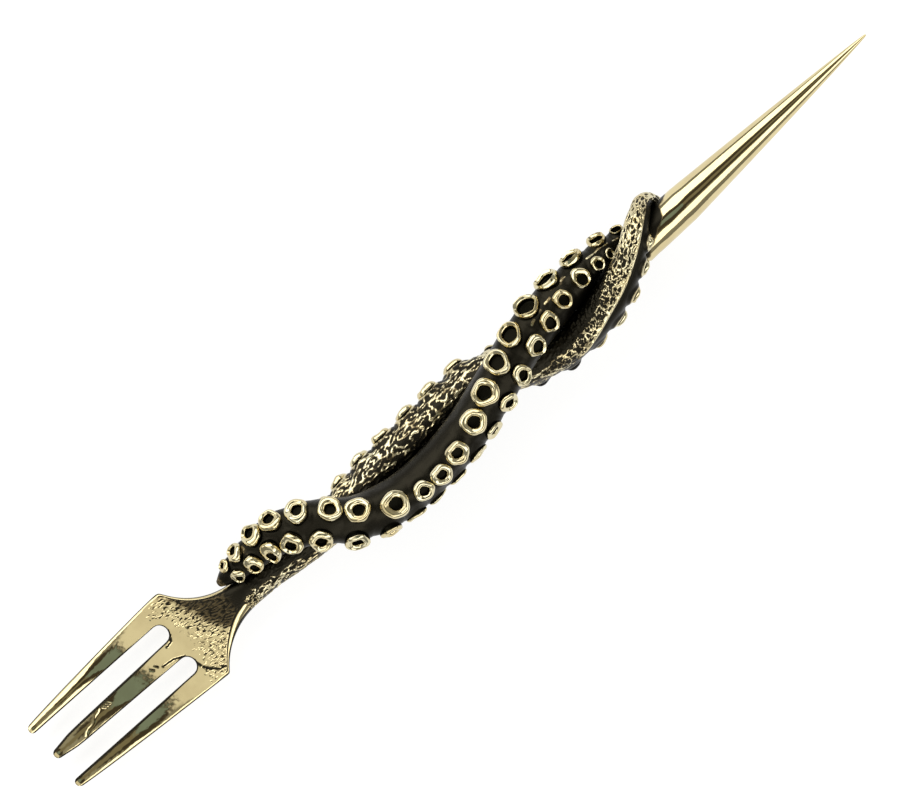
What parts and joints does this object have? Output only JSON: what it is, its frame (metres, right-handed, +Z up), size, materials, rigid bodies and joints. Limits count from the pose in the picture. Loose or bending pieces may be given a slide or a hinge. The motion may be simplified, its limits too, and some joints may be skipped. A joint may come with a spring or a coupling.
{
  "type": "fork and pick",
  "caption": "Cast brass serving fork with a pick at its other end and a handle of two entwined tapering tentacles, each with paired rows of graded sucker cups.",
  "frame": {"origin": "on the table, under the middle of the length and of the width", "axes": "+X from the fork's tines along the handle to the pick's point, +Y to the left of that, +Z up from the table"},
  "size_m": [0.1704, 0.019, 0.0164],
  "materials": {
    "polished_brass": "hand polished, with a dark patina left in the recesses",
    "blackened_brass": "black patina, rubbed back to bright brass on the ridges",
    "sucker_brass": "rubbed bright on the rims, black in the cups"
  },
  "bodies": {
    "root": {"fork_head": "polished_brass", "pick": "polished_brass", "front_tentacle": "blackened_brass", "rear_tentacle": "blackened_brass", "front_left_suckers": "sucker_brass", "front_right_suckers": "sucker_brass", "rear_left_suckers": "sucker_brass", "rear_right_suckers": "sucker_brass"}
  },
  "joints": []
}
